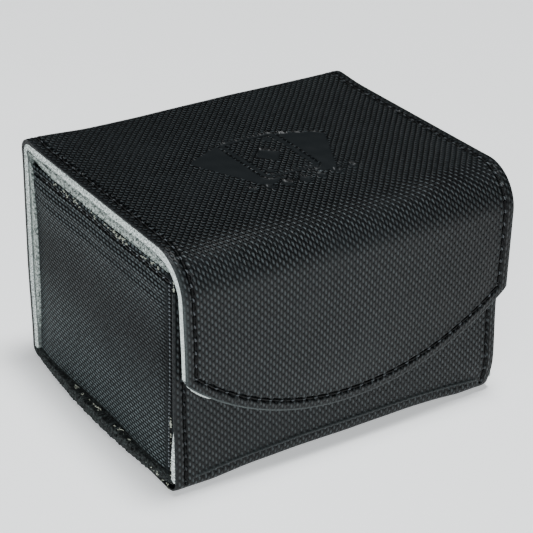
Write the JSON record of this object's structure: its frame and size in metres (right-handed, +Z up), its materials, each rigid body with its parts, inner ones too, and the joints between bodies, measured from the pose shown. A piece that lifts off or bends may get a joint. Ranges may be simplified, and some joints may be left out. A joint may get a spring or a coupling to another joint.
{
  "type": "card deck box",
  "caption": "Landscape card deck box: leatherette-covered board case with a lid that turns on the wrap at the top back edge and a curved front flap held shut by hidden magnets.",
  "frame": {"origin": "centre of the bounding box's underside, on the table under the middle of the case", "axes": "+X to the right across the front, +Y to the back, +Z up"},
  "size_m": [0.122, 0.101, 0.081],
  "materials": {
    "leatherette": "black leatherette embossed with rows of small bumps, semi-gloss",
    "board": "pale grey raw board, matt",
    "felt": "pale grey felt, matt",
    "lining_cloth": "pale grey brushed cloth, matt",
    "foam": "thin white foam",
    "thread": "black sewing thread",
    "magnet": "nickel-plated magnet"
  },
  "bodies": {
    "box": {"back_cover": "leatherette", "back_board": "board", "back_pad": "felt", "back_stitching": "thread", "bottom_cover": "leatherette", "bottom_board": "board", "bottom_pad": "felt", "front_cover": "leatherette", "front_board": "board", "front_lining": "lining_cloth", "front_magnets": "magnet", "front_stitching": "thread", "left_cover": "leatherette", "left_foam": "foam", "left_board": "board", "left_lining": "lining_cloth", "left_stitching": "thread", "right_cover": "leatherette", "right_foam": "foam", "right_board": "board", "right_lining": "lining_cloth", "right_stitching": "thread"},
    "lid": {"lid_cover": "leatherette", "lid_board": "board", "lid_pad": "felt", "lid_stitching": "thread"},
    "flap": {"flap_cover": "leatherette", "flap_board": "board", "flap_lining": "lining_cloth", "flap_magnets": "magnet", "flap_stitching": "thread"}
  },
  "joints": [
    {"name": "lid_hinge", "type": "hinge", "parent": "box", "child": "lid", "pos_m": [0, 0.04918, 0.07968], "axis": [-1, 0, 0], "range_deg": [0, 175]},
    {"name": "flap_hinge", "type": "hinge", "parent": "lid", "child": "flap", "pos_m": [0, -0.0464, 0.0769], "axis": [-1, 0, 0], "range_deg": [0, 90]}
  ]
}
